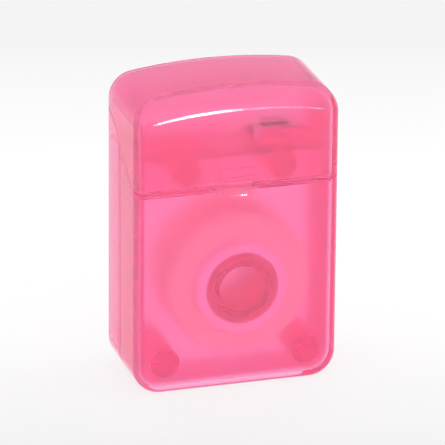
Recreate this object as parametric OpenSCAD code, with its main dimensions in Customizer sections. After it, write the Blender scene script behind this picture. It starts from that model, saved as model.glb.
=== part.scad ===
// Flip-top box of dental floss: two case halves that snap together, a hinged lid, a spool and a cutter.
// The origin is the middle of the base, +Z is up and the front of the box faces -Y.

/* [Case] */
// Width of the case
case_w = 35; // [33:0.5:42]
// Height of the case at the middle of its crown
case_h = 52.6; // [50.6:0.2:60]
// Depth of the case from front to back
case_d = 18.6; // [17.6:0.2:24]
// Thickness of the case walls
wall = 1.2; // [1:0.1:1.4]
// Radius of the two lower corners, seen from the front
bottom_r = 4.6; // [3.6:0.2:6]
// Radius of the two upper corners, seen from the front
top_r = 4.6; // [3.8:0.2:6]
// Rise of the arched top between its corners
crown = 0.9; // [0.4:0.1:1.6]
// Radius of the edges round the front and the back
edge_r = 2; // [1.6:0.1:2.6]
// Radius of the edge where the lid turns from its top to its front
brow_r = 4.2; // [3:0.2:4.8]
// Distance of the side seam in front of the back face
seam_back = 8.5; // [7.5:0.1:9.5]

/* [Lid] */
// Height of the lid at its front
lid_h = 16.85; // [15.6:0.25:18.6]
// Distance of the hinge line at the back below the top
hinge_drop = 7.3; // [6.6:0.1:8.1]
// Thickness of the lid's walls
lid_wall = 1.2; // [1:0.1:1.4]
// Gap between the closed lid and the case
lid_gap = 0.2; // [0.1:0.05:0.3]
// Width of the living hinge
hinge_w = 24; // [16:1:26]
// Height of the living hinge between the two walls that it joins
hinge_h = 1.2; // [0.8:0.1:1.6]
// Thickness of the living hinge at its middle
hinge_t = 0.35; // [0.25:0.05:0.5]
// Width of the snap bar inside the lid
snap_w = 5.7; // [4:0.1:8]
// Height of the snap bar
snap_h = 1.4; // [1:0.1:1.8]
// Amount by which the snap bar stands out of the lid's inner face
snap_out = 0.35; // [0.25:0.05:0.5]
// Height of the snap bar's middle above the lid's lower edge
snap_up = 2.1; // [1.6:0.1:3]
// Amount by which the thumb lip stands out of the lid's face
lip_out = 0.2; // [0.1:0.05:0.4]
// Height of the thumb lip
lip_h = 0.9; // [0.6:0.1:1.2]

/* [Neck] */
// Gap between the neck and the inside of the lid
neck_gap = 0.2; // [0.15:0.05:0.3]
// Thickness of the neck's wall
neck_wall = 1.1; // [0.9:0.1:1.3]
// Radius of the neck's corners, seen from above
neck_r = 3.2; // [2.4:0.2:4]
// Distance of the neck's rim below the top of the lid
neck_drop = 7.9; // [7.7:0.1:8.7]
// Thickness of the ledge that the neck stands on
ledge_t = 1.2; // [0.9:0.1:1.6]
// Depth of the deck below the rim
deck_drop = 3; // [2:0.1:3.4]
// Thickness of the deck
deck_t = 1.2; // [1:0.1:1.6]
// Radius of the finger scoop in the front of the rim
scoop_r = 8; // [6.5:0.5:9]
// Distance of the finger scoop to the left of the middle
scoop_left = 1; // [0:0.5:2]
// Width of the thumb scoop under the lid's edge
thumb_w = 9; // [7:0.5:11]
// Height of the thumb scoop
thumb_h = 1.75; // [1.25:0.25:2.25]
// Depth of the thumb scoop
thumb_d = 0.6; // [0.4:0.1:0.8]

/* [Floss way] */
// Radius of the floss hole in the deck
outlet_r = 1.1; // [0.9:0.1:1.4]
// Distance of the floss hole to the left of the middle
outlet_left = 1; // [0.5:0.1:1.5]
// Distance of the floss hole in front of the seam
outlet_front = 3.3; // [2.9:0.1:3.7]
// Width of the threading slit between the hole and the seam
slit_w = 0.8; // [0.7:0.1:1]

/* [Spool] */
// Height of the spool's axis above the base
spool_z = 17.3; // [17.1:0.2:19.1]
// Distance of the spool's axis right of the middle
spool_x = 1.1; // [0:0.1:1.2]
// Radius of the spool core's bore
core_bore_r = 6.25; // [5.5:0.25:6.5]
// Outer radius of the spool core
core_r = 7.8; // [7.4:0.1:8.2]
// Length of the spool core
core_len = 15.8; // [13.6:0.2:15.8]
// Radial running clearance of the core on its hub
hub_gap = 0.08; // [0.05:0.01:0.1]
// Thickness of the hub's wall
hub_wall = 1.1; // [0.9:0.1:1.4]
// Length by which the hub is shorter than the inside of the case
hub_short = 1.1; // [0.8:0.1:1.6]
// Length of the front half's spigot inside the hub
spigot_len = 4; // [3:0.5:6]
// Thickness of the spigot's wall
spigot_wall = 1; // [0.8:0.1:1.2]

/* [Floss] */
// Diameter of the floss
floss_d = 0.55; // [0.5:0.05:0.6]
// Radius of the wound floss under its outer layer
pack_r = 11.7; // [10:0.1:12]
// Width of the wound floss
pack_w = 12; // [11.5:0.5:13]
// Number of turns in the outer layer
turns = 9; // [7:1:11]

/* [Case halves] */
// Depth by which the back half's skirt reaches into the front half
skirt_in = 7; // [5:0.5:7.5]
// Thickness of the skirt
skirt_t = 0.9; // [0.7:0.1:1]
// Gap between parts of the two halves that fit inside each other
fit_gap = 0.1; // [0.05:0.05:0.15]
// Depth by which the skirt is rooted inside the back half
skirt_root = 2.2; // [1.6:0.2:3]
// Radius of the four location pins
pin_r = 1.2; // [1:0.1:1.4]
// Length of the location pins past the seam
pin_len = 5; // [3:0.5:6]
// Thickness of the boss wall round each pin's socket
boss_wall = 1.25; // [1:0.05:1.4]
// Distance of the upper pins from the middle
pin_top_x = 8.2; // [7.5:0.1:9.5]
// Height of the upper pins below the deck's top face
pin_top_drop = 3.5; // [3:0.1:4]
// Distance of the lower pins from the middle
pin_low_x = 12.2; // [11.6:0.1:12.4]
// Height of the lower pins above the base
pin_low_z = 5.3; // [5.1:0.1:5.6]

/* [Cutter] */
// Thickness of the steel sheet
sheet_t = 0.3; // [0.2:0.05:0.4]
// Width of the cutter
cutter_w = 7.8; // [7:0.1:8.4]
// Distance of the cutter's middle to the right of the case's middle
cutter_x = 7.3; // [6.8:0.1:7.8]
// Depth of the pad that the cutter is clipped on
pad_d = 4; // [3.6:0.1:4.2]
// Height of the pad above the deck
pad_h = 2.7; // [2.3:0.1:2.9]
// Height of the cutter's two flanges
flange_h = 2.1; // [1.8:0.1:2.2]
// Width of the raised tongue
tongue_w = 5; // [4:0.1:5.4]
// Length of the raised tongue
tongue_len = 2.9; // [2.6:0.1:3]
// Angle at which the tongue stands up
tongue_tilt = 36; // [32:1:42]
// Depth of the sharp notch in the tongue's tip
notch_d = 1; // [0.8:0.1:1.4]
// Width of the pad's two snap nubs
nub_w = 1.6; // [1.2:0.1:2]

/* [Hidden] */

eps = 0.01;
big = 100;
arch_fn = 480;
smooth_fn = 96;
least_r = 0.3;

front_y = -case_d / 2;
back_y = case_d / 2;
seam_y = back_y - seam_back;
seam_gap = 0.05;
inner_front_y = front_y + wall;
inner_back_y = back_y - wall;

lid_edge_z = case_h - lid_h;
hinge_z = case_h - hinge_drop;
neck_top_z = case_h - neck_drop;

// The parting curve between lid and case, seen from the side, as points [y, z].
curve_steps = 16;
curve_pull_front = [8.6, 1.3];
curve_pull_back = 5.8;
curve_flat_back = 0.7;
curve_start = [front_y, lid_edge_z];
curve_low = curve_start + curve_pull_front;
curve_end = [back_y - curve_flat_back, hinge_z];
curve_high = curve_end - [curve_pull_back, 0];
function bezier(t) = pow(1 - t, 3) * curve_start + 3 * t * pow(1 - t, 2) * curve_low
    + 3 * t * t * (1 - t) * curve_high + pow(t, 3) * curve_end;
parting = [for (i = [0:curve_steps]) bezier(i / curve_steps)];

neck_in = lid_wall + neck_gap;
neck_in_wall = neck_in + neck_wall;
neck_front_y = front_y + neck_in;
neck_inner_y = front_y + neck_in_wall;
neck_low_z = lid_edge_z - ledge_t - 1;
deck_z = neck_top_z - deck_drop;
deck_low_z = deck_z - deck_t;

hub_r = core_bore_r - hub_gap;
hub_bore_r = hub_r - hub_wall;
spigot_r = hub_bore_r - fit_gap;
hub_front_y = inner_front_y + hub_short;

boss_r = pin_r + boss_wall;
pin_top_z = deck_z - pin_top_drop;
pin_places = [for (side = [-1, 1]) each [[side * pin_top_x, pin_top_z], [side * pin_low_x, pin_low_z]]];

snap_z = lid_edge_z + snap_up;
snap_room = 0.15;

outlet_x = -outlet_left;
outlet_y = seam_y - outlet_front;

pad_gap = 0.5;
pad_side = 0.2;
pad_front_y = neck_inner_y + pad_gap + sheet_t;
pad_back_y = pad_front_y + pad_d;
pad_top_z = deck_z + pad_h;
pad_w = cutter_w - 2 * pad_side;
plate_top_z = pad_top_z + sheet_t;
tongue_back = 0.6;
tongue_side = 0.1;
tongue_root_y = pad_back_y - tongue_back;
recess_front = 0.5;
recess_d = 1;
nub_h = 0.5;
nub_out = 0.25;
nub_room = 0.15;
nub_up = 0.6;
nub_z = pad_top_z - flange_h + nub_up;

// The outer layer of floss: a helix about the spool's axis, which parts from it straight at each end.
ring_steps = 24;
turn_sides = 6;
layer_gap = 0.02;
turn_r = (pack_r + layer_gap + floss_d / 2) / cos(180 / ring_steps);
turn_pitch = (pack_w - floss_d) / turns;
turn_first_y = -(pack_w - floss_d) / 2;
function helix_at(a) = [spool_x, turn_first_y + turn_pitch * a / 360, spool_z] + turn_r * [cos(a), 0, sin(a)];
function helix_way(a) = unit([-turn_r * sin(a), turn_pitch / (2 * PI), turn_r * cos(a)]);
function unit(v) = v / norm(v);
turn_start = 145;
turn_end = turn_start + 360 * turns;
turn_angles = [for (i = [0:ring_steps * turns]) turn_start + i * 360 / ring_steps];
turn_points = concat([helix_at(turn_start) - floss_d * helix_way(turn_start)],
                     [for (a = turn_angles) helix_at(a)],
                     [helix_at(turn_end) + floss_d * helix_way(turn_end)]);
turn_clear = min([for (i = [0:len(turn_points) - 1])
                  for (j = [i + ring_steps / 2:1:min(i + 2 * ring_steps, len(turn_points) - 1)])
                  norm(turn_points[i] - turn_points[j])]) - floss_d;
echo(least_gap_between_turns_mm = turn_clear);

// The strand from the winding through the hole in the deck to the cutter, as points [x, y, z].
lead_sides = 8;
lead_steps = 2;
lead_points = [
    [-11.5, -2.5, 13.9], [-11.9, -2.5, 17.3], [-11.5, -2.5, 20.6], [-9.8, -2.5, 24.9],
    [-8.2, -2.5, 27.9], [-6.5, -2.5, 30.9], [-4.8, -2.5, 34], [-3.1, -2.5, 37],
    [-1.4, -2.5, 39.6], [-0.9, -2.5, 41.8], [-0.1, -2.7, 43.2], [1.6, -3.2, 44.4],
    [3.4, -3.9, 45.1], [5.8, -4.1, 45.05], [8.2, -4.1, 45.05], [10.6, -4.2, 45.05]];

// A smooth curve through the points, after Catmull and Rom.
function curve_point(p, i, t) =
    let (a = p[max(i - 1, 0)], b = p[i], c = p[i + 1], d = p[min(i + 2, len(p) - 1)])
    b + t / 2 * (c - a) + t * t / 2 * (2 * a - 5 * b + 4 * c - d) + t * t * t / 2 * (3 * b - a - 3 * c + d);
function smooth_route(p, steps) = concat(
    [for (i = [0:len(p) - 2]) for (k = [0:steps - 1]) curve_point(p, i, k / steps)],
    [p[len(p) - 1]]);

// A closed tube swept along points, with its first and last rings square to the ends.
function way_at(p, i) = unit(p[min(i + 1, len(p) - 1)] - p[max(i - 1, 0)]);
function side_of(way, hint) = unit(cross(way, hint));
function tube_ring(at, way, hint, r, s) =
    let (a = side_of(way, hint), b = cross(way, a))
    [for (k = [0:s - 1]) at + r * (cos(k * 360 / s) * a + sin(k * 360 / s) * b)];

module tube(p, r, hint, s) {
    n = len(p);
    rings = [for (i = [0:n - 1]) each tube_ring(p[i], way_at(p, i), hint, r, s)];
    walls = [for (i = [0:n - 2]) for (k = [0:s - 1])
             let (a = i * s + k, b = i * s + (k + 1) % s)
             each [[a, b, b + s], [a, b + s, a + s]]];
    first_cap = [for (k = [1:s - 2]) [0, k + 1, k]];
    last_cap = [for (k = [1:s - 2]) [(n - 1) * s, (n - 1) * s + k, (n - 1) * s + k + 1]];
    polyhedron(points = rings, faces = concat(walls, first_cap, last_cap));
}

// A flat plate with round corners, drawn between four limits with a radius for each corner.
module round_plate(x0, x1, y0, y1, low_left, low_right, high_right, high_left) {
    corners = [[x0 + low_left, y0 + low_left, low_left], [x1 - low_right, y0 + low_right, low_right],
               [x1 - high_right, y1 - high_right, high_right], [x0 + high_left, y1 - high_left, high_left]];
    difference() {
        translate([x0, y0])
            square([x1 - x0, y1 - y0]);
        for (i = [0:3]) {
            c = corners[i];
            translate([c[0], c[1]])
                rotate(i * 90)
                    difference() {
                        translate([-c[2] - 1, -c[2] - 1])
                            square(c[2] + 1);
                        circle(r = c[2], $fn = smooth_fn);
                    }
        }
    }
}

// The whole outside of the box, drawn in by an inset for the hollows: an upper part, which is an
// upright block met by the arched drum of the crown, a rounded bottom bar and two lower corners.
module case_form(inset) {
    edge = max(edge_r - inset, least_r);
    brow = max(brow_r - inset, edge);
    low = bottom_r - inset;
    high = top_r - inset;
    y0 = front_y + inset;
    y1 = back_y - inset;
    half_w = case_w / 2 - inset;
    corner_x = case_w / 2 - top_r;
    arch_r = (corner_x * corner_x + crown * crown) / (2 * crown);
    corner_z = case_h - arch_r + sqrt(pow(arch_r - top_r, 2) - corner_x * corner_x);
    arch_x = corner_x * (arch_r - inset) / (arch_r - top_r);
    intersection() {
        translate([0, 0, bottom_r])
            linear_extrude(case_h)
                round_plate(-half_w, half_w, y0, y1, edge, edge, edge, edge);
        translate([0, y1, 0])
            rotate([90, 0, 0])
                linear_extrude(y1 - y0) {
                    translate([-arch_x, 0])
                        square([2 * arch_x, case_h]);
                    translate([-half_w, 0])
                        square([2 * half_w, corner_z]);
                    for (side = [-1, 1])
                        translate([side * corner_x, corner_z])
                            circle(r = high, $fn = smooth_fn);
                }
        translate([0, 0, case_h - arch_r])
            rotate([90, 0, 0])
                rotate_extrude($fn = arch_fn)
                    intersection() {
                        round_plate(-arch_r + inset, arch_r - inset, -y1, -y0, edge, edge, brow, brow);
                        translate([0, -case_d])
                            square([arch_r, 2 * case_d]);
                    }
    }
    intersection() {
        translate([-case_w / 2 + bottom_r, 0, 0])
            rotate([90, 0, 90])
                linear_extrude(case_w - 2 * bottom_r)
                    round_plate(y0, y1, inset, 2 * bottom_r, edge, edge, least_r, least_r);
        translate([-case_w, -case_d, 0])
            cube([2 * case_w, 2 * case_d, bottom_r]);
    }
    for (side = [-1, 1])
        translate([side * (case_w / 2 - bottom_r), 0, bottom_r])
            rotate([90, 0, 0])
                rotate_extrude($fn = smooth_fn)
                    intersection() {
                        round_plate(-low, low, -y1, -y0, edge, edge, edge, edge);
                        translate([0, -case_d])
                            square([low, 2 * case_d]);
                    }
}

// Everything above or below the parting curve, moved up by a shift.
module above_parting(shift) {
    outline = concat([[-big, lid_edge_z]], parting, [[big, hinge_z], [big, big], [-big, big]]);
    translate([0, 0, shift])
        rotate([90, 0, 90])
            linear_extrude(big, center = true)
                polygon(outline);
}

module below_parting(shift) {
    outline = concat([[-big, lid_edge_z]], parting, [[big, hinge_z], [big, -big], [-big, -big]]);
    translate([0, 0, shift])
        rotate([90, 0, 90])
            linear_extrude(big, center = true)
                polygon(outline);
}

module in_front_of(y) {
    translate([-big / 2, y - big, -big / 2])
        cube([big, big, 2 * big]);
}

module behind(y) {
    translate([-big / 2, y, -big / 2])
        cube([big, big, 2 * big]);
}

module below(z) {
    translate([-big / 2, -big / 2, z - big])
        cube(big);
}

// One half of the case before it is hollowed: its outside under the lid, and its half of the neck.
module half_blank() {
    intersection() {
        union() {
            intersection() {
                case_form(0);
                below_parting(-lid_gap / 2);
            }
            neck_block(neck_in, neck_r, neck_low_z, neck_top_z);
        }
        children();
    }
}

// A box with round upright corners: the plan of the neck, drawn in by an inset.
module neck_block(inset, corner_r, low_z, high_z) {
    half_w = case_w / 2 - inset;
    half_d = case_d / 2 - inset;
    translate([0, 0, low_z])
        linear_extrude(high_z - low_z) {
            square([2 * half_w, 2 * (half_d - corner_r)], center = true);
            square([2 * (half_w - corner_r), 2 * half_d], center = true);
            for (sx = [-1, 1], sy = [-1, 1])
                translate([sx * (half_w - corner_r), sy * (half_d - corner_r)])
                    circle(r = corner_r, $fn = smooth_fn);
        }
}

// The room inside a shell of a given thickness, up to the deck.
module room_below_deck(thickness) {
    intersection() {
        case_form(thickness);
        below_parting(-ledge_t);
        below(deck_low_z);
    }
}

// The hollow inside the neck: its lower part belongs to the room, its upper part is the open well.
module neck_hollow() {
    neck_block(neck_in_wall, neck_r - neck_wall, neck_low_z, deck_low_z);
    neck_block(neck_in_wall, neck_r - neck_wall, deck_z, case_h);
}

// A round bar along Y between two depths.
module bar_y(r, from_y, to_y, x = 0, z = 0) {
    translate([x, to_y, z])
        rotate([90, 0, 0])
            cylinder(r = r, h = to_y - from_y, $fn = smooth_fn);
}

module hinge_notch() {
    translate([-hinge_w / 2, back_y - wall - 1, hinge_z - hinge_h / 2])
        cube([hinge_w, wall + 2, hinge_h]);
}

// The shallow hollow for a thumb nail is cut by a large ball in front of the case.
module thumb_scoop() {
    ring_r = (thumb_w * thumb_w / 4 + thumb_h * thumb_h) / (2 * thumb_h);
    edge_drop = ring_r - thumb_h;
    ball_out = (ring_r * ring_r - edge_drop * edge_drop - thumb_d * thumb_d) / (2 * thumb_d);
    ball_r = sqrt(ball_out * ball_out + ring_r * ring_r);
    intersection() {
        translate([0, front_y - ball_out, lid_edge_z + edge_drop])
            sphere(r = ball_r, $fn = smooth_fn);
        translate([-thumb_w, front_y - 1, lid_edge_z - 2 * thumb_h])
            cube([2 * thumb_w, 1 + 2 * thumb_d, 2 * thumb_h]);
    }
}

module finger_scoop() {
    bar_y(scoop_r, neck_front_y - 1, neck_inner_y + eps, -scoop_left, deck_z + scoop_r);
}

module snap_pocket() {
    translate([-snap_w / 2 - snap_room, neck_front_y - 1, snap_z - snap_h / 2 - snap_room])
        cube([snap_w + 2 * snap_room, 1 + snap_out - neck_gap + snap_room, snap_h + 2 * snap_room]);
}

module cutter_pad() {
    difference() {
        translate([cutter_x - pad_w / 2, pad_front_y, deck_z - eps])
            cube([pad_w, pad_d, pad_h + eps]);
        translate([cutter_x - tongue_w / 2, pad_front_y + recess_front, pad_top_z - recess_d])
            cube([tongue_w, pad_d - 2 * recess_front, recess_d + eps]);
    }
    for (y = [pad_front_y - nub_out, pad_back_y - eps])
        translate([cutter_x - nub_w / 2, y, nub_z])
            cube([nub_w, nub_out + eps, nub_h]);
}

module floss_hole() {
    translate([outlet_x, outlet_y, deck_low_z - 1])
        cylinder(r = outlet_r, h = deck_t + 2, $fn = smooth_fn);
    translate([outlet_x - slit_w / 2, outlet_y, deck_low_z - 1])
        cube([slit_w, outlet_front, deck_t + 2]);
}

module front_shell() {
    color([0.98, 0.42, 0.58, 0.7]) {
        difference() {
            half_blank()
                in_front_of(seam_y - seam_gap);
            room_below_deck(wall);
            neck_hollow();
            thumb_scoop();
            finger_scoop();
            snap_pocket();
            floss_hole();
        }
        cutter_pad();
        difference() {
            bar_y(spigot_r, inner_front_y - eps, hub_front_y + spigot_len, spool_x, spool_z);
            bar_y(spigot_r - spigot_wall, inner_front_y, hub_front_y + spigot_len + 1, spool_x, spool_z);
        }
        for (place = pin_places) {
            wall_y = place[1] > neck_low_z ? neck_inner_y : inner_front_y;
            bar_y(boss_r, wall_y - eps, seam_y - seam_gap, place[0], place[1]);
            bar_y(pin_r, seam_y - 1, seam_y + pin_len, place[0], place[1]);
        }
    }
}

module rear_shell() {
    skirt_outer = wall + fit_gap;
    skirt_inner = skirt_outer + skirt_t;
    skirt_root_y = seam_y + skirt_root;
    color([0.97, 0.45, 0.62, 0.7]) {
        difference() {
            union() {
                half_blank()
                    behind(seam_y + seam_gap);
                intersection() {
                    case_form(skirt_outer);
                    below_parting(-ledge_t - fit_gap);
                    behind(seam_y - skirt_in);
                    in_front_of(skirt_root_y);
                }
            }
            room_below_deck(skirt_inner);
            intersection() {
                room_below_deck(wall);
                behind(skirt_root_y);
            }
            neck_hollow();
            hinge_notch();
        }
        difference() {
            bar_y(hub_r, hub_front_y, inner_back_y + eps, spool_x, spool_z);
            bar_y(hub_bore_r, hub_front_y - 1, inner_back_y, spool_x, spool_z);
        }
        for (place = pin_places)
            difference() {
                bar_y(boss_r, seam_y + seam_gap, inner_back_y + eps, place[0], place[1]);
                bar_y(pin_r + fit_gap / 2, seam_y - 1, seam_y + pin_len + fit_gap, place[0], place[1]);
            }
    }
}

module thumb_lip() {
    lip_r = (thumb_w * thumb_w / 4 + lip_out * lip_out) / (2 * lip_out);
    intersection() {
        translate([0, front_y - lip_out + lip_r, lid_edge_z + lid_gap / 2])
            cylinder(r = lip_r, h = lip_h, $fn = 4 * smooth_fn);
        translate([-thumb_w, front_y - 1, lid_edge_z])
            cube([2 * thumb_w, 1 + lid_wall / 2, 2 * lip_h]);
    }
}

module lid() {
    color([1, 0.45, 0.62, 0.7]) {
        difference() {
            intersection() {
                case_form(0);
                above_parting(lid_gap / 2);
            }
            case_form(lid_wall);
            hinge_notch();
        }
        thumb_lip();
        translate([-snap_w / 2, front_y + lid_wall - eps, snap_z - snap_h / 2])
            cube([snap_w, snap_out + eps, snap_h]);
    }
}

module living_hinge() {
    foot_t = 2 * hinge_t;
    waist = hinge_h / 5;
    color([0.98, 0.4, 0.58, 0.7])
        translate([-hinge_w / 2 + fit_gap, 0, hinge_z])
            rotate([90, 0, 90])
                linear_extrude(hinge_w - 2 * fit_gap)
                    polygon([[back_y, -hinge_h / 2], [back_y, hinge_h / 2],
                             [back_y - foot_t, hinge_h / 2], [back_y - hinge_t, waist],
                             [back_y - hinge_t, -waist], [back_y - foot_t, -hinge_h / 2]]);
}

module spool_core() {
    color("white")
        difference() {
            bar_y(core_r, -core_len / 2, core_len / 2, spool_x, spool_z);
            bar_y(core_bore_r, -core_len, core_len, spool_x, spool_z);
        }
}

module floss_pack() {
    color("whitesmoke")
        difference() {
            bar_y(pack_r, -pack_w / 2, pack_w / 2, spool_x, spool_z);
            bar_y(core_r, -pack_w, pack_w, spool_x, spool_z);
        }
}

module floss_outer_turns() {
    color("whitesmoke")
        tube(turn_points, floss_d / 2, [0, 1, 0], turn_sides);
}

module floss_lead() {
    color("whitesmoke")
        tube(smooth_route(lead_points, lead_steps), floss_d / 2, [0, 1, 0], lead_sides);
}

// A bent steel clip over the pad, with a notched tongue raised from its top plate.
module cutter() {
    left_x = cutter_x - cutter_w / 2;
    depth = pad_d + 2 * sheet_t;
    low_z = pad_top_z - flange_h;
    color("lightsteelblue") {
        difference() {
            translate([left_x, pad_front_y - sheet_t, low_z])
                cube([cutter_w, depth, flange_h + sheet_t]);
            translate([left_x - 1, pad_front_y, low_z - 1])
                cube([cutter_w + 2, pad_d, flange_h + 1]);
            translate([cutter_x - tongue_w / 2, tongue_root_y - tongue_len, pad_top_z - 1])
                cube([tongue_w, tongue_len, 3]);
            translate([cutter_x - nub_w / 2 - nub_room, pad_front_y - 1, nub_z - nub_room])
                cube([nub_w + 2 * nub_room, depth + 2, nub_h + 2 * nub_room]);
        }
        translate([cutter_x, tongue_root_y, pad_top_z])
            rotate([-tongue_tilt, 0, 0])
                difference() {
                    translate([-tongue_w / 2 + tongue_side, -tongue_len, 0])
                        cube([tongue_w - 2 * tongue_side, tongue_len + tongue_side, sheet_t]);
                    translate([0, -tongue_len, -1])
                        linear_extrude(2)
                            polygon([[-notch_d, -eps], [notch_d, -eps], [0, notch_d]]);
                }
    }
}

front_shell();
rear_shell();
lid();
living_hinge();
spool_core();
floss_pack();
floss_outer_turns();
floss_lead();
cutter();
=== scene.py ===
import math

import bmesh
import bpy
from mathutils import Matrix, Vector
from mathutils.bvhtree import BVHTree


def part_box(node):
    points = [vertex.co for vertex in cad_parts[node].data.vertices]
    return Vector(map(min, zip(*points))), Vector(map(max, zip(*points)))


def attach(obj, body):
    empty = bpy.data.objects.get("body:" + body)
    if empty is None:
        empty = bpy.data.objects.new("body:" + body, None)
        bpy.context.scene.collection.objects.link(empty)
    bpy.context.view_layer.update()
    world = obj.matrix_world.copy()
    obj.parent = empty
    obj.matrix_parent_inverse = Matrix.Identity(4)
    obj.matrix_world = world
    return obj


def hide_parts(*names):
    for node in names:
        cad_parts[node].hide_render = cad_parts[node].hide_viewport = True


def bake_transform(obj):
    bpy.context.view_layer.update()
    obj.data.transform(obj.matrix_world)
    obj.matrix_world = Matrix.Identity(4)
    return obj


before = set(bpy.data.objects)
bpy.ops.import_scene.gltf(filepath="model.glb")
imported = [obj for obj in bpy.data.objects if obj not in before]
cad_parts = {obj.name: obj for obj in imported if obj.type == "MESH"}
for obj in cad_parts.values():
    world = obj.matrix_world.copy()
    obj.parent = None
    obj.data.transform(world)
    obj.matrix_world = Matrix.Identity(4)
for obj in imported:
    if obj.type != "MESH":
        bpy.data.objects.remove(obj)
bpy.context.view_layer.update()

MM = 0.001


# Sizes of the box, in metres, read from the CAD parts in model.glb or repeated from the part's own driving
# sizes

lid_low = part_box("lid")[0]
shell_low, shell_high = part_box("front_shell")
rear_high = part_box("rear_shell")[1]
core_low, core_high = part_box("spool_core")
pack_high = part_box("floss_pack")[1]

half_w = shell_high.x
front_y = shell_low.y
back_y = rear_high.y
top_z = 52.6 * MM
wall = 1.2 * MM
bottom_r = 4.6 * MM
top_r = 4.6 * MM
crown = 0.9 * MM
edge_r = 2.0 * MM
brow_r = 4.2 * MM
least_r = 0.3 * MM
seam_y = 0.8 * MM
seam_gap = 0.05 * MM
groove_w = 0.5 * MM
groove_d = 0.35 * MM
edge_width = 0.12 * MM

lid_gap = 0.2 * MM
lid_edge_z = lid_low.z - lid_gap / 2
hinge_z = 45.3 * MM
hinge_h = 1.2 * MM
hinge_w = 24 * MM
hinge_t = 0.35 * MM
hinge_side_gap = 0.1 * MM
ledge_t = 1.2 * MM

neck_in = 1.4 * MM
neck_wall = 1.1 * MM
neck_r = 3.2 * MM
neck_low_z = lid_edge_z - ledge_t - 1 * MM
neck_top_z = 44.7 * MM
deck_z = 41.7 * MM
deck_low_z = 40.5 * MM

spool_x = (core_low.x + core_high.x) / 2
spool_z = (core_low.z + core_high.z) / 2
core_r = core_high.x - spool_x
pack_r = pack_high.x - spool_x
pack_half_w = pack_high.y
floss_d = 0.55 * MM
floss_lay = 0.6 * MM
layer_gap = 0.02 * MM


# How far cutting blocks reach past the box or past one face, and lengths that are too small to see

beyond = 60 * MM
over = 1 * MM
sink = 0.01 * MM
same_point = 0.001 * MM
weld = 1e-7
skin_depth = 0.15 * MM


# Camera, found by fitting the box's outline to the photograph

camera_turn = math.radians(-16.9)
camera_rise = math.radians(21.46)
camera_roll = math.radians(0.48)
camera_distance = 0.8171
camera_target = Vector((0.00007, 0, 0.02599))
image_side = 445
focal_pixels = 4909
sensor_side = 36
clip_near = 0.05
clip_far = 20


def make_camera():
    data = bpy.data.cameras.new("camera")
    data.sensor_width = sensor_side
    data.lens = focal_pixels / image_side * sensor_side
    data.clip_start = clip_near
    data.clip_end = clip_far
    camera = bpy.data.objects.new("camera", data)
    bpy.context.collection.objects.link(camera)
    back = Vector((math.sin(camera_turn) * math.cos(camera_rise),
                   -math.cos(camera_turn) * math.cos(camera_rise),
                   math.sin(camera_rise)))
    right = (-back).cross(Vector((0, 0, 1))).normalized()
    up = right.cross(-back)
    tilted_right = math.cos(camera_roll) * right + math.sin(camera_roll) * up
    tilted_up = math.cos(camera_roll) * up - math.sin(camera_roll) * right
    camera.matrix_world = Matrix((
        (tilted_right.x, tilted_up.x, back.x, camera_target.x + back.x * camera_distance),
        (tilted_right.y, tilted_up.y, back.y, camera_target.y + back.y * camera_distance),
        (tilted_right.z, tilted_up.z, back.z, camera_target.z + back.z * camera_distance),
        (0, 0, 0, 1)))
    bpy.context.scene.camera = camera


# Shader helpers: a wrapped socket turns Python expressions into Math nodes

class Wire:
    """A socket that can stand in a sum."""

    def __init__(self, tree, socket):
        self.tree = tree
        self.socket = socket

    def _math(self, operation, first, second):
        return self.tree.node("ShaderNodeMath", {"operation": operation}, {0: first, 1: second})

    def __add__(self, other):
        return self._math("ADD", self, other)

    def __radd__(self, other):
        return self._math("ADD", other, self)

    def __sub__(self, other):
        return self._math("SUBTRACT", self, other)

    def __rsub__(self, other):
        return self._math("SUBTRACT", other, self)

    def __mul__(self, other):
        return self._math("MULTIPLY", self, other)

    def __rmul__(self, other):
        return self._math("MULTIPLY", other, self)

    def __truediv__(self, other):
        return self._math("DIVIDE", self, other)

    def __rtruediv__(self, other):
        return self._math("DIVIDE", other, self)

    def clamp(self):
        return self.tree.node("ShaderNodeClamp", {}, {"Value": self})


class Planner:
    """A node tree that is filled through node()."""

    def __init__(self, tree):
        self.nodes = tree.nodes
        self.links = tree.links

    def node(self, kind, settings, sockets, output=0):
        made = self.nodes.new(kind)
        for name, value in settings.items():
            if name == "stops":
                self._set_stops(made.color_ramp, value)
            else:
                setattr(made, name, value)
        for name, value in sockets.items():
            wires = value if isinstance(value, list) else [value]
            for wire in wires:
                if isinstance(wire, Wire):
                    self.links.new(wire.socket, made.inputs[name])
                else:
                    made.inputs[name].default_value = wire
        return Wire(self, made.outputs[output])

    @staticmethod
    def _set_stops(ramp, stops):
        while len(ramp.elements) < len(stops):
            ramp.elements.new(0.5)
        for element, (place, colour) in zip(ramp.elements, stops):
            element.position = place
            element.color = colour


class Shading(Planner):
    """A material's node tree."""

    def __init__(self, name):
        self.material = bpy.data.materials.new(name)
        self.material.use_nodes = True
        super().__init__(self.material.node_tree)
        self.nodes.clear()

    def place(self):
        return self.node("ShaderNodeTexCoord", {}, {}, "Object")

    def rays(self, kind):
        return self.node("ShaderNodeLightPath", {}, {}, kind)

    def noise(self, size, detail, rough=0.5):
        return self.node("ShaderNodeTexNoise", {}, {
            "Vector": self.place(), "Scale": 1 / size, "Detail": detail, "Roughness": rough}, "Fac")

    def mix(self, share, first, second):
        return self.node("ShaderNodeMix", {"data_type": "RGBA"}, {0: share, 6: first, 7: second}, 2)

    def bump(self, height, strength, distance):
        return self.node("ShaderNodeBump", {}, {
            "Height": height, "Strength": strength, "Distance": distance})

    def surface(self, shader, volume=None):
        end = self.nodes.new("ShaderNodeOutputMaterial")
        self.links.new(shader.socket, end.inputs["Surface"])
        if volume:
            self.links.new(volume.socket, end.inputs["Volume"])
        return self.material


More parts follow.
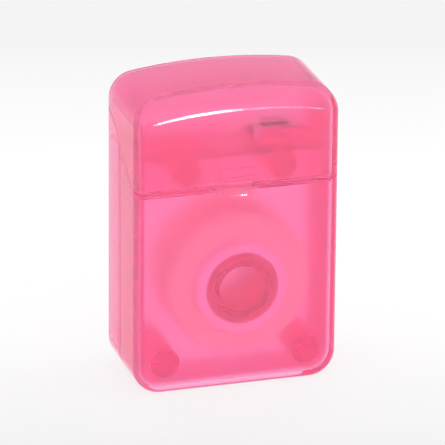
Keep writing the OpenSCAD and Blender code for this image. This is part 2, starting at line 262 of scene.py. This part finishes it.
class Forming(Planner):
    """A geometry tree with its sizes as named inputs, which turns into one plain mesh."""

    def __init__(self, name, sizes):
        self.tree = bpy.data.node_groups.new(name, "GeometryNodeTree")
        super().__init__(self.tree)
        self.tree.interface.new_socket(
            name="Geometry", in_out="OUTPUT", socket_type="NodeSocketGeometry")
        self.sizes = sizes
        self.sockets = {size: self.tree.interface.new_socket(
            name=size, in_out="INPUT", socket_type="NodeSocketFloat") for size in sizes}
        self.entry = self.nodes.new("NodeGroupInput")

    def size(self, name):
        return Wire(self, self.entry.outputs[name])

    def point(self, x, y, z):
        return self.node("ShaderNodeCombineXYZ", {}, {"X": x, "Y": y, "Z": z})

    def strand(self, curve, radius, sides):
        profile = self.node("GeometryNodeCurvePrimitiveCircle", {"mode": "RADIUS"}, {
            "Resolution": sides, "Radius": radius})
        return self.node("GeometryNodeCurveToMesh", {}, {
            "Curve": curve, "Profile Curve": profile, "Fill Caps": True})

    def moved(self, geometry, translation, turn):
        return self.node("GeometryNodeTransform", {}, {
            "Geometry": geometry, "Translation": translation, "Rotation": turn})

    def to_piece(self, name, geometry, material):
        solid = self.node("GeometryNodeRealizeInstances", {}, {"Geometry": geometry})
        dressed = self.node("GeometryNodeSetMaterial", {}, {"Geometry": solid, "Material": material})
        end = self.nodes.new("NodeGroupOutput")
        self.links.new(dressed.socket, end.inputs["Geometry"])
        piece = new_piece(name, [], [])
        step = piece.modifiers.new("form", "NODES")
        step.node_group = self.tree
        for size, value in self.sizes.items():
            step[self.sockets[size].identifier] = value
        return outward(settle(piece))


def pink_plastic(name, pale, deep, roughness):
    """Cloudy dyed polypropylene, polished outside and dull in its hollows, that deepens with its thickness."""
    s = Shading(name)
    dull = s.node("ShaderNodeAttribute", {
        "attribute_type": "GEOMETRY", "attribute_name": "inside"}, {}, "Fac")
    flow = s.noise(14 * MM, 3, 0.55)
    grain = s.noise(0.35 * MM, 4, 0.6)
    ripple = s.noise(6 * MM, 2, 0.5)
    shader = s.node("ShaderNodeBsdfPrincipled", {}, {
        "Base Color": s.mix(flow, pale, deep),
        "Roughness": roughness + 0.05 * ripple + 0.35 * dull,
        "IOR": 1.33,
        "Transmission Weight": 0.9,
        "Normal": s.bump(grain * 0.4 + ripple, 0.12, 0.05 * MM)})
    dye = s.node("ShaderNodeVolumeAbsorption", {}, {"Color": (0.998, 0.3, 0.7, 1), "Density": 110.0})
    return s.surface(shader, dye)


def moulded_white(name):
    """Milky polystyrene with a fine mould grain."""
    s = Shading(name)
    cloud = s.noise(5 * MM, 3)
    grain = s.noise(0.3 * MM, 3)
    shader = s.node("ShaderNodeBsdfPrincipled", {}, {
        "Base Color": s.mix(cloud, (0.96, 0.91, 0.98, 1), (1.0, 0.95, 1.0, 1)),
        "Roughness": 0.4 + 0.15 * grain,
        "IOR": 1.5,
        "Subsurface Weight": 0.15,
        "Subsurface Radius": (0.002, 0.0015, 0.001),
        "Normal": s.bump(grain, 0.15, 0.05 * MM)})
    return s.surface(shader)


def waxed_thread(name):
    """Twisted nylon filaments under a thin coat of wax."""
    s = Shading(name)
    lay = s.node("ShaderNodeTexWave", {"wave_type": "BANDS", "bands_direction": "DIAGONAL"}, {
        "Vector": s.place(), "Scale": 1 / floss_d, "Distortion": 1.5, "Detail": 2}, "Fac")
    cloud = s.noise(3 * MM, 3)
    shader = s.node("ShaderNodeBsdfPrincipled", {}, {
        "Base Color": s.mix(cloud, (0.94, 0.86, 0.72, 1), (0.99, 0.92, 0.80, 1)),
        "Roughness": 0.42 + 0.2 * cloud,
        "Sheen Weight": 0.2,
        "Coat Weight": 0.15,
        "Normal": s.bump(lay * 0.6 + cloud * 0.4, 0.35, 0.04 * MM)})
    return s.surface(shader)


def stamped_steel(name):
    """Sheet steel with the fine lines that its rolling leaves."""
    s = Shading(name)
    stretch = s.node("ShaderNodeMapping", {}, {"Vector": s.place(), "Scale": (200, 6000, 6000)})
    brushing = s.node("ShaderNodeTexNoise", {}, {"Vector": stretch, "Scale": 1, "Detail": 3}, "Fac")
    shader = s.node("ShaderNodeBsdfPrincipled", {}, {
        "Base Color": s.mix(brushing, (0.74, 0.75, 0.77, 1), (0.86, 0.87, 0.89, 1)),
        "Metallic": 1,
        "Roughness": 0.22 + 0.2 * brushing,
        "Normal": s.bump(brushing, 0.1, 0.01 * MM)})
    return s.surface(shader)


# Mesh helpers

round_from = math.radians(35)
sharp_from = math.radians(50)
large_face_weight = 80


def new_piece(name, verts, faces):
    mesh = bpy.data.meshes.new(name)
    mesh.from_pydata(verts, [], faces)
    mesh.update()
    piece = bpy.data.objects.new(name, mesh)
    bpy.context.collection.objects.link(piece)
    return piece


def outward(piece):
    """Joins points that lie on each other and turns the faces outwards."""
    work = bmesh.new()
    work.from_mesh(piece.data)
    bmesh.ops.remove_doubles(work, verts=work.verts, dist=weld)
    bmesh.ops.recalc_face_normals(work, faces=work.faces)
    work.to_mesh(piece.data)
    work.free()
    return piece


def settle(piece):
    """Leaves the piece as a plain mesh, with its modifiers worked in."""
    bpy.context.view_layer.update()
    graph = bpy.context.evaluated_depsgraph_get()
    mesh = bpy.data.meshes.new_from_object(piece.evaluated_get(graph))
    piece.modifiers.clear()
    piece.data = mesh
    return piece


def cut(piece, operation, *tools):
    """Joins, cuts or keeps the common part of a closed mesh and others, which are used up."""
    for tool in tools:
        step = piece.modifiers.new("cut", "BOOLEAN")
        step.operation = operation
        step.solver = "MANIFOLD"
        step.object = tool
        settle(piece)
        bpy.data.objects.remove(tool, do_unlink=True)
    return piece


def rings_to_solid(name, rings):
    """A closed solid from rings of equal length, the first and last filled."""
    count = len(rings[0])
    verts = [v for ring in rings for v in ring]
    last = (len(rings) - 1) * count
    faces = [tuple(range(count))[::-1], tuple(range(last, last + count))]
    for r in range(len(rings) - 1):
        for k in range(count):
            a, b = r * count + k, r * count + (k + 1) % count
            faces.append((a, b, b + count, a + count))
    return outward(new_piece(name, verts, faces))


def smoothstep(x):
    x = min(max(x, 0), 1)
    return x * x * (3 - 2 * x)


def front_outline(inset, corner_steps=20, arch_steps=24):
    """Points of the front outline drawn in by an inset, each with its way out: (x, z, nx, nz)."""
    points = []

    def arc(cx, cz, r, start, end, steps):
        for k in range(steps + 1):
            a = math.radians(start + (end - start) * k / steps)
            points.append((cx + r * math.cos(a), cz + r * math.sin(a), math.cos(a), math.sin(a)))

    corner_x = half_w - top_r
    arch_r = (corner_x ** 2 + crown ** 2) / (2 * crown)
    arch_z = top_z - arch_r
    corner_z = arch_z + math.sqrt((arch_r - top_r) ** 2 - corner_x ** 2)
    lean = math.degrees(math.asin(corner_x / (arch_r - top_r)))
    low_x = half_w - bottom_r
    arc(low_x, bottom_r, bottom_r - inset, -90, 0, corner_steps)
    arc(corner_x, corner_z, top_r - inset, 0, 90 - lean, corner_steps)
    arc(0, arch_z, arch_r - inset, 90 - lean, 90 + lean, arch_steps)
    arc(-corner_x, corner_z, top_r - inset, 90 + lean, 180, corner_steps)
    arc(-low_x, bottom_r, bottom_r - inset, 180, 270, corner_steps)
    kept = []
    for p in points:
        if not kept or math.hypot(p[0] - kept[-1][0], p[1] - kept[-1][1]) > same_point:
            kept.append(p)
    return kept


def case_form(name, inset, edge_steps=10):
    """The whole outside of the box with all its edges round, drawn in by an inset for its hollows."""
    outline = front_outline(inset)

    def front_radius(nz):
        full = edge_r + (brow_r - edge_r) * smoothstep(nz)
        return max(full - inset, least_r)

    rings = []
    for k in range(edge_steps + 1):
        a = math.pi / 2 * k / edge_steps
        ring = []
        for x, z, nx, nz in outline:
            r = front_radius(nz)
            move = r * (1 - math.sin(a))
            ring.append((x - nx * move, front_y + inset + r * (1 - math.cos(a)), z - nz * move))
        rings.append(ring)
    back_r = max(edge_r - inset, least_r)
    for k in range(edge_steps + 1):
        a = math.pi / 2 * (1 - k / edge_steps)
        ring = []
        for x, z, nx, nz in outline:
            move = back_r * (1 - math.sin(a))
            ring.append((x - nx * move, back_y - inset - back_r * (1 - math.cos(a)), z - nz * move))
        rings.append(ring)
    return rings_to_solid(name, rings)


def parting_points(steps=40):
    """The line between lid and case, seen from the side, as (y, z): one smooth rise from front to hinge."""
    start = (front_y, lid_edge_z)
    low = (front_y + 8.6 * MM, lid_edge_z + 1.3 * MM)
    end = (back_y - 0.7 * MM, hinge_z)
    high = (end[0] - 5.8 * MM, hinge_z)
    points = []
    for k in range(steps + 1):
        t = k / steps
        weights = ((1 - t) ** 3, 3 * t * (1 - t) ** 2, 3 * t * t * (1 - t), t ** 3)
        points.append(tuple(sum(w * p[i] for w, p in zip(weights, (start, low, high, end)))
                            for i in (0, 1)))
    return points


def side_block(name, outline):
    """A prism across the whole box with an outline given as (y, z)."""
    reach = beyond / 2
    return rings_to_solid(name, [[(x, y, z) for y, z in outline] for x in (-reach, reach)])


def beside_parting(name, shift, end_z):
    """The room from the parting line, moved by a shift, up or down to a height."""
    line = [(y, z + shift) for y, z in parting_points()]
    return side_block(name, [(-beyond, lid_edge_z + shift)] + line + [
        (beyond, hinge_z + shift), (beyond, end_z), (-beyond, end_z)])


def above_parting(shift):
    return beside_parting("above", shift, 2 * beyond)


def below_parting(shift):
    return beside_parting("below", shift, -beyond)


def upright(name, ring, z0, z1):
    """A prism that stands on an outline given as (x, y)."""
    return rings_to_solid(name, [[(x, y, z) for x, y in ring] for z in (z0, z1)])


def block(low, high):
    (x0, y0, z0), (x1, y1, z1) = low, high
    return upright("block", [(x0, y0), (x1, y0), (x1, y1), (x0, y1)], z0, z1)


def circle(r, x, y, steps):
    """Points round a middle, in the plane that the caller draws in."""
    turns = [2 * math.pi * k / steps for k in range(steps)]
    return [(x + r * math.cos(a), y + r * math.sin(a)) for a in turns]


def bar_y(r, y0, y1, x, z, steps=64):
    ring = circle(r, x, z, steps)
    return rings_to_solid("bar", [[(px, y, pz) for px, pz in ring] for y in (y0, y1)])


def bar_z(r, x, y, z0, z1, steps=32):
    return upright("bar", circle(r, x, y, steps), z0, z1)


def neck_block(inset, corner_r, low_z, high_z, corner_steps=12):
    """An upright block with round corners, seen from above."""
    x = half_w - inset - corner_r
    y = -front_y - inset - corner_r
    ring = []
    for cx, cy, start in ((x, y, 0), (-x, y, 90), (-x, -y, 180), (x, -y, 270)):
        for k in range(corner_steps + 1):
            a = math.radians(start + 90 * k / corner_steps)
            ring.append((cx + corner_r * math.cos(a), cy + corner_r * math.sin(a)))
    return upright("neck", ring, low_z, high_z)


def slice_y(low_y, high_y):
    """All the room between two planes that face front and back."""
    return block((-beyond, low_y, -beyond), (beyond, high_y, beyond))


def half_blank(name, low_y, high_y):
    """Front or rear half of the case with its half of the neck, before it is hollowed."""
    blank = cut(case_form(name, 0), "INTERSECT", below_parting(-lid_gap / 2))
    cut(blank, "UNION", neck_block(neck_in, neck_r, neck_low_z, neck_top_z))
    return cut(blank, "INTERSECT", slice_y(low_y, high_y))


def room_below_deck(thickness):
    """The room inside walls of a thickness, up to the ledge and the deck."""
    room = cut(case_form("room", thickness), "INTERSECT", below_parting(-ledge_t))
    return cut(room, "INTERSECT", block((-beyond, -beyond, -beyond), (beyond, beyond, deck_low_z)))


def neck_hollows():
    """The rooms inside the neck, under the deck and over it."""
    inner = neck_in + neck_wall
    inner_r = neck_r - neck_wall
    return (neck_block(inner, inner_r, neck_low_z, deck_low_z),
            neck_block(inner, inner_r, deck_z, top_z))


def finish_edges(piece, *grooves):
    """Small round edges, as a mould leaves them, then grooves, and shading that keeps flat faces flat."""
    bevel = piece.modifiers.new("edges", "BEVEL")
    bevel.width = edge_width
    bevel.segments = 2
    bevel.limit_method = "ANGLE"
    bevel.angle_limit = round_from
    bevel.use_clamp_overlap = True
    return shade(cut(settle(piece), "DIFFERENCE", *grooves))


def shade(piece):
    """Smooth shading that breaks at sharp edges and leans towards the large faces."""
    for face in piece.data.polygons:
        face.use_smooth = True
    piece.data.set_sharp_from_angle(angle=sharp_from)
    weighted = piece.modifiers.new("normals", "WEIGHTED_NORMAL")
    weighted.weight = large_face_weight
    weighted.keep_sharp = True
    return settle(piece)


def mark_inside(piece):
    """Adds an attribute that is 0 on the box's polished skin and on the snap, and 1 on the faces behind."""
    skin = case_form("skin", 0)
    tree = BVHTree.FromPolygons([v.co for v in skin.data.vertices],
                                [tuple(f.vertices) for f in skin.data.polygons])
    bpy.data.objects.remove(skin, do_unlink=True)
    marks = piece.data.attributes.new("inside", "FLOAT", "FACE")
    for face, mark in zip(piece.data.polygons, marks.data):
        corners = [piece.data.vertices[v].co for v in face.vertices]
        behind = tree.find_nearest(face.center)[3] > skin_depth
        mark.value = float(behind and not all(map(near_snap, corners)))
    return piece


def near_snap(point):
    room = 2 * snap_room
    return (abs(point.x) < snap_w / 2 + room and abs(point.z - snap_z) < snap_h / 2 + room
            and point.y < front_y + neck_in + snap_pocket + 0.1 * MM)


# The case and its lid

thumb_w = 9 * MM
thumb_h = 1.75 * MM
thumb_d = 0.6 * MM
scoop_r = 8 * MM
scoop_x = -1 * MM
snap_w = 5.7 * MM
snap_h = 1.4 * MM
snap_out = 0.35 * MM
snap_z = lid_edge_z + 2.1 * MM
snap_room = 0.15 * MM
snap_pocket = 0.3 * MM
lip_out = 0.2 * MM
lip_h = 0.9 * MM
outlet = Vector((-1 * MM, seam_y - 3.3 * MM, deck_z))
outlet_r = 1.1 * MM
slit_w = 0.8 * MM

hub_r = 6.17 * MM
hub_wall = 1.1 * MM
hub_front_y = front_y + wall + 1.1 * MM
spigot_r = hub_r - hub_wall - 0.1 * MM
spigot_wall = 1 * MM
spigot_len = 4 * MM
boss_r = 2.45 * MM
pin_r = 1.2 * MM
pin_len = 5 * MM
pin_gap = 0.05 * MM
pin_places = [(side * x * MM, z * MM) for side in (-1, 1) for x, z in ((8.2, 38.2), (12.2, 5.3))]
pin_steps = 32
boss_steps = 48
hub_steps = 128
scoop_steps = 160
skirt_gap = 0.1 * MM
skirt_t = 0.9 * MM
skirt_in = 7 * MM
skirt_root_y = seam_y + 2.2 * MM

pad_low = Vector((3.6 * MM, -6.0 * MM, deck_z - 0.1 * MM))
pad_high = Vector((11.0 * MM, -2.0 * MM, 44.4 * MM))
pad_rim = 0.5 * MM
recess_left = 4.8 * MM
recess_right = 9.8 * MM
recess_d = 1 * MM


def thumb_scoop():
    """A shallow hollow for a thumb nail: a large ball pressed into the front under the lid's edge."""
    ring_r = (thumb_w ** 2 / 4 + thumb_h ** 2) / (2 * thumb_h)
    drop = ring_r - thumb_h
    out = (ring_r ** 2 - drop ** 2 - thumb_d ** 2) / (2 * thumb_d)
    ball_r = math.hypot(out, ring_r)
    work = bmesh.new()
    bmesh.ops.create_uvsphere(work, u_segments=192, v_segments=96, radius=ball_r)
    mesh = bpy.data.meshes.new("scoop")
    work.to_mesh(mesh)
    work.free()
    mesh.transform(Matrix.Translation((0, front_y - out, lid_edge_z + drop)))
    ball = bpy.data.objects.new("scoop", mesh)
    bpy.context.collection.objects.link(ball)
    return cut(ball, "INTERSECT", block((-thumb_w, front_y - over, lid_edge_z - 2 * thumb_h),
                                        (thumb_w, front_y + 2 * thumb_d, lid_edge_z)))


def snap_hole():
    """The pocket in the neck that the lid's snap bar clicks into."""
    x = snap_w / 2 + snap_room
    return block((-x, front_y, snap_z - snap_h / 2 - snap_room),
                 (x, front_y + neck_in + snap_pocket, snap_z + snap_h / 2 + snap_room))


def cutter_pad():
    """The block on the deck that the cutter clips on, with a recess under the cutter's tongue."""
    return cut(block(pad_low, pad_high), "DIFFERENCE", block(
        (recess_left, pad_low.y + pad_rim, pad_high.z - recess_d),
        (recess_right, pad_high.y - pad_rim, pad_high.z + over)))


def spigot():
    """The short tube on the front wall that centres the rear half's hub."""
    end_y = hub_front_y + spigot_len
    start_y = front_y + wall - sink
    return cut(bar_y(spigot_r, start_y, end_y, spool_x, spool_z), "DIFFERENCE",
               bar_y(spigot_r - spigot_wall, start_y - over, end_y + over, spool_x, spool_z))


def make_front_shell():
    shell = half_blank("case_front", -beyond, seam_y - seam_gap)
    inner_y = front_y + neck_in + neck_wall
    finger_scoop = bar_y(scoop_r, front_y + neck_in - over, inner_y + sink,
                         scoop_x, deck_z + scoop_r, scoop_steps)
    outlet_hole = bar_z(outlet_r, outlet.x, outlet.y, deck_low_z - over, deck_z + over)
    outlet_slit = block((outlet.x - slit_w / 2, outlet.y, deck_low_z - over),
                        (outlet.x + slit_w / 2, seam_y, deck_z + over))
    cut(shell, "DIFFERENCE", room_below_deck(wall), *neck_hollows(), thumb_scoop(),
        finger_scoop, snap_hole(), outlet_hole, outlet_slit)
    cut(shell, "UNION", cutter_pad(), spigot())
    for x, z in pin_places:
        start = inner_y if z > neck_low_z else front_y + wall
        cut(shell, "UNION", bar_y(boss_r, start - sink, seam_y - seam_gap, x, z, boss_steps),
            bar_y(pin_r, seam_y - over, seam_y + pin_len, x, z, pin_steps))
    return shell


def make_rear_shell():
    shell = half_blank("case_rear", seam_y + seam_gap, beyond)
    skirt = cut(case_form("skirt", wall + skirt_gap), "INTERSECT",
                below_parting(-ledge_t - skirt_gap), slice_y(seam_y - skirt_in, skirt_root_y))
    cut(shell, "UNION", skirt)
    back_room = cut(room_below_deck(wall), "INTERSECT", slice_y(skirt_root_y, beyond))
    cut(shell, "DIFFERENCE", room_below_deck(wall + skirt_gap + skirt_t), back_room,
        *neck_hollows(), hinge_notch())
    hub = cut(bar_y(hub_r, hub_front_y, back_y - wall + sink, spool_x, spool_z, hub_steps), "DIFFERENCE",
              bar_y(hub_r - hub_wall, hub_front_y - over, back_y - wall, spool_x, spool_z, hub_steps))
    cut(shell, "UNION", hub)
    for x, z in pin_places:
        boss = cut(bar_y(boss_r, seam_y + seam_gap, back_y - wall + sink, x, z, boss_steps), "DIFFERENCE",
                   bar_y(pin_r + pin_gap, seam_y - over, seam_y + pin_len + skirt_gap, x, z, pin_steps))
        cut(shell, "UNION", boss)
    return shell


def seam_groove():
    """A narrow groove round the box where its two halves meet."""
    band = cut(case_form("groove", -groove_d), "INTERSECT",
               slice_y(seam_y - groove_w / 2, seam_y + groove_w / 2))
    return cut(band, "DIFFERENCE", case_form("core", groove_d))


def hinge_notch():
    """The gap in the back wall that the hinge's web bridges."""
    return block((-hinge_w / 2, back_y - wall - over, hinge_z - hinge_h / 2),
                 (hinge_w / 2, back_y + over, hinge_z + hinge_h / 2))


def thumb_lip(steps=24):
    """A low lip on the lid's lower edge, bowed out at its middle."""
    r = (thumb_w ** 2 / 4 + lip_out ** 2) / (2 * lip_out)
    low_z = lid_edge_z + lid_gap / 2
    places = [thumb_w * (k / steps - 0.5) for k in range(steps + 1)]
    bow = [(x, front_y - lip_out + r - math.sqrt(r * r - x * x)) for x in places]
    back = [(thumb_w / 2, front_y + wall / 2), (-thumb_w / 2, front_y + wall / 2)]
    return upright("lip", bow + back, low_z, low_z + lip_h)


def make_lid():
    lid = cut(case_form("lid_cover", 0), "INTERSECT", above_parting(lid_gap / 2))
    cut(lid, "DIFFERENCE", case_form("hollow", wall), hinge_notch())
    bar = block((-snap_w / 2, front_y + wall - sink, snap_z - snap_h / 2),
                (snap_w / 2, front_y + wall + snap_out, snap_z + snap_h / 2))
    return cut(lid, "UNION", thumb_lip(), bar)


def make_hinge_web(steps=12, across=24):
    """The thin web between rear half and lid, with a finer waist and its feet sunk in both."""
    half = hinge_h / 2 + 2 * sink
    foot = 2 * hinge_t
    profile = [(back_y, half), (back_y - foot, half)]
    for k in range(1, steps):
        bulge = abs(1 - 2 * k / steps) ** 1.5
        profile.append((back_y - hinge_t - (foot - hinge_t) * bulge, half - 2 * half * k / steps))
    profile.append((back_y - foot, -half))
    profile += [(back_y, -half + 2 * half * k / steps) for k in range(steps)]
    half_across = hinge_w / 2 - hinge_side_gap
    return rings_to_solid("hinge_web", [
        [(-half_across + 2 * half_across * k / across, y, hinge_z + z) for y, z in profile]
        for k in range(across + 1)])


# The floss

turn_r = pack_r + floss_d / 2 + layer_gap
strand_sides = 10
coil_steps = 80
lead_sides = 12
lead_steps = 6
lead_points = [
    (-11.5, -2.5, 13.9), (-11.9, -2.5, 17.3), (-11.5, -2.5, 20.6), (-9.8, -2.5, 24.9),
    (-8.2, -2.5, 27.9), (-6.5, -2.5, 30.9), (-4.8, -2.5, 34), (-3.1, -2.5, 37),
    (-1.4, -2.5, 39.6), (-0.9, -2.5, 41.8), (-0.1, -2.7, 43.2), (1.6, -3.2, 44.4),
    (3.4, -3.9, 45.1), (5.8, -4.1, 45.05), (8.2, -4.1, 45.05), (10.6, -4.2, 45.05)]


def make_winding(material):
    """Turns laid side by side round the pack, and the ends of its layers as a flat coil on each side."""
    f = Forming("winding", {
        "Strand": floss_d, "Lay": floss_lay, "Outer Radius": turn_r, "Pack Radius": pack_r,
        "Core Radius": core_r, "Half Width": pack_half_w, "Right": spool_x, "Height": spool_z})
    strand_r = f.size("Strand") / 2
    run = f.size("Half Width") * 2 - f.size("Strand") * 2
    helix = f.node("GeometryNodeCurveSpiral", {}, {
        "Resolution": coil_steps, "Rotations": run / f.size("Lay"),
        "Start Radius": f.size("Outer Radius"), "End Radius": f.size("Outer Radius"), "Height": run})

    def laid(form, y):
        return f.moved(form, f.point(f.size("Right"), y, f.size("Height")), (math.pi / 2, 0, 0))

    forms = [laid(f.strand(helix, strand_r, strand_sides), run / 2)]
    inner = f.size("Core Radius") + strand_r
    outer = f.size("Pack Radius") - strand_r
    for side in (-1, 1):
        coil = f.node("GeometryNodeCurveSpiral", {}, {
            "Resolution": coil_steps, "Rotations": (outer - inner) / f.size("Strand"),
            "Start Radius": inner, "End Radius": outer, "Height": 0.0})
        forms.append(laid(f.strand(coil, strand_r, strand_sides),
                          side * (f.size("Half Width") - strand_r)))
    middle = f.node("GeometryNodeCurvePrimitiveCircle", {"mode": "RADIUS"}, {
        "Resolution": 96, "Radius": (f.size("Core Radius") + f.size("Pack Radius")) / 2})
    section = f.node("GeometryNodeCurvePrimitiveQuadrilateral", {"mode": "RECTANGLE"}, {
        "Width": f.size("Pack Radius") - f.size("Core Radius") - strand_r / 4,
        "Height": f.size("Half Width") * 2 - f.size("Strand")})
    forms.append(laid(f.node("GeometryNodeCurveToMesh", {}, {
        "Curve": middle, "Profile Curve": section}), 0))
    return f.to_piece("floss_winding", f.node("GeometryNodeJoinGeometry", {}, {"Geometry": forms}), material)


def smooth_route(points, steps):
    """Points on a smooth line through all the given ones, which are in millimetres."""
    ends = [Vector(p) * MM for p in points]
    ends = [2 * ends[0] - ends[1]] + ends + [2 * ends[-1] - ends[-2]]
    route = []
    for a, b, c, d in zip(ends, ends[1:], ends[2:], ends[3:]):
        for k in range(steps):
            t = k / steps
            route.append(0.5 * (2 * b + (c - a) * t + (2 * a - 5 * b + 4 * c - d) * t ** 2
                                + (3 * b - a - 3 * c + d) * t ** 3))
    return route + [ends[-2]]


def make_lead(route):
    """The strand from the winding through the hole in the deck to the cutter."""
    rings = []
    side = Vector((0, 1, 0))
    for k, point in enumerate(route):
        way = (route[min(k + 1, len(route) - 1)] - route[max(k - 1, 0)]).normalized()
        side = (side - way * side.dot(way)).normalized()
        up = way.cross(side)
        rings.append([point + floss_d / 2 * (math.cos(a) * side + math.sin(a) * up)
                      for a in (2 * math.pi * j / lead_sides for j in range(lead_sides))])
    return rings_to_solid("floss_strand", rings)


# Stage and light: the table's painted light falloff is given as tones by how many millimetres they lie behind
# the box's middle

table_side = 6.0
fade_near = -45 * MM
fade_far = 170 * MM
# Painted light falloff on the table: tones below 1 are painted shade, darker before the box and far behind it
painted_falloff_tones = ((-40, 0.87), (-33, 0.888), (-26, 0.905), (-17, 0.922), (-6, 0.939), (13, 0.983),
               (31, 1.0), (94, 1.0), (122, 0.956), (149, 0.922), (165, 0.888))
table_glow = 0.82

tent_light = 1.14
wall_dimming = 0.5
wall_start = 0.35
wall_start_fade = 0.35
wall_top = 0.8
wall_top_fade = 0.3

lamp_aim = Vector((0, 0, 30 * MM))
lamp_distance = 0.8


def make_floor():
    """A pale table with a painted light falloff, which darkens its tone a little before the box and far behind
    it, and that keeps a soft shadow.
    """
    s = Shading("pale_table")
    sight = Vector((-math.sin(camera_turn), math.cos(camera_turn), 0))
    depth = s.node("ShaderNodeVectorMath", {"operation": "DOT_PRODUCT"}, {0: s.place(), 1: sight}, "Value")
    fade = fade_far - fade_near
    stops = [((away * MM - fade_near) / fade, (falloff_shade, falloff_shade, falloff_shade, 1)) for away, falloff_shade in painted_falloff_tones]
    falloff_shade = s.node("ShaderNodeValToRGB", {"stops": stops}, {"Fac": ((depth - fade_near) / fade).clamp()})
    cloth = s.node("ShaderNodeBsdfPrincipled", {}, {
        "Base Color": falloff_shade, "Roughness": 0.7, "Specular IOR Level": 0.2})
    glow = s.node("ShaderNodeEmission", {}, {"Color": falloff_shade, "Strength": 1.0})
    seen = s.rays("Is Camera Ray") + s.rays("Is Glossy Ray") + s.rays("Is Transmission Ray")
    s.surface(s.node("ShaderNodeMixShader", {}, {0: table_glow * seen.clamp(), 1: cloth, 2: glow}))
    x = table_side / 2
    floor = new_piece("floor", [(-x, -x, 0), (x, -x, 0), (x, x, 0), (-x, x, 0)], [(0, 1, 2, 3)])
    floor.data.materials.append(s.material)


def make_world():
    """A white tent with a dimmer wall behind the box, so that the lid's top mirrors less of it."""
    world = bpy.data.worlds.new("tent")
    world.use_nodes = True
    s = Planner(world.node_tree)
    way = s.node("ShaderNodeTexCoord", {}, {}, "Generated")
    behind = s.node("ShaderNodeSeparateXYZ", {}, {"Vector": way}, "Y")
    height = s.node("ShaderNodeSeparateXYZ", {}, {"Vector": way}, "Z")
    dim_wall = (((behind - wall_start) / wall_start_fade).clamp()
                * ((wall_top - height) / wall_top_fade).clamp())
    s.links.new((tent_light - wall_dimming * dim_wall).socket, s.nodes["Background"].inputs["Strength"])
    s.nodes["Background"].inputs["Color"].default_value = (1, 1, 1, 1)
    bpy.context.scene.world = world


def soft_lamp(name, turn, rise, size, watts):
    """A lamp in front of the box, turned to the right and raised by angles in degrees."""
    data = bpy.data.lights.new(name, "AREA")
    data.shape = "RECTANGLE"
    data.size, data.size_y = size
    data.energy = watts
    lamp = bpy.data.objects.new(name, data)
    bpy.context.collection.objects.link(lamp)
    a, e = math.radians(turn), math.radians(rise)
    way = Vector((math.sin(a) * math.cos(e), -math.cos(a) * math.cos(e), math.sin(e)))
    lamp.location = lamp_aim + way * lamp_distance
    lamp.rotation_euler = (-way).to_track_quat("-Z", "Y").to_euler()


make_camera()
make_floor()
make_world()
soft_lamp("strip_lamp", turn=13.2, rise=1, size=(0.05, 0.2), watts=3.2)
soft_lamp("glint_lamp", turn=17, rise=3, size=(0.16, 0.04), watts=0.4)
bpy.context.scene.view_settings.view_transform = "Standard"
cycles = bpy.context.scene.cycles
cycles.max_bounces = cycles.transmission_bounces = cycles.glossy_bounces = 128
cycles.diffuse_bounces = 32
cycles.blur_glossy = 0

skin_roughness = 0.06
case_pink = pink_plastic("case_pink", (1.0, 0.50, 0.71, 1), (1.0, 0.46, 0.68, 1), skin_roughness)
lid_pink = pink_plastic("lid_pink", (1.0, 0.49, 0.69, 1), (1.0, 0.46, 0.66, 1), skin_roughness)
core_white = moulded_white("core_white")
thread_white = waxed_thread("thread_white")
sheet_steel = stamped_steel("sheet_steel")


def dress(piece, material, slot, body, *nodes):
    """Gives a finished piece its material and its body, and hides the CAD nodes that it stands for."""
    piece.data.materials.clear()
    piece.data.materials.append(material)
    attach(piece, body)
    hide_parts(*nodes)


case_front = mark_inside(finish_edges(make_front_shell(), seam_groove()))
case_rear = mark_inside(finish_edges(make_rear_shell(), seam_groove()))
lid_cover = mark_inside(finish_edges(make_lid()))
dress(case_front, case_pink, "case_plastic", "case", "front_shell")
dress(case_rear, case_pink, "case_plastic", "case", "rear_shell")
dress(lid_cover, lid_pink, "lid_plastic", "lid", "lid")

web = make_hinge_web()
web.data.materials.append(lid_pink)
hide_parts("living_hinge")
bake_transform(web)

winding = shade(make_winding(thread_white))
dress(winding, thread_white, "waxed_floss", "spool", "floss_pack", "floss_outer_turns")

route = smooth_route(lead_points, lead_steps)
strand = shade(make_lead(route))
dress(strand, thread_white, "waxed_floss", "case", "floss_lead")
sum((b - a).length for a, b in zip(route, route[1:]))

for node, material in (("spool_core", core_white), ("cutter", sheet_steel)):
    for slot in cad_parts[node].material_slots:
        slot.material = material
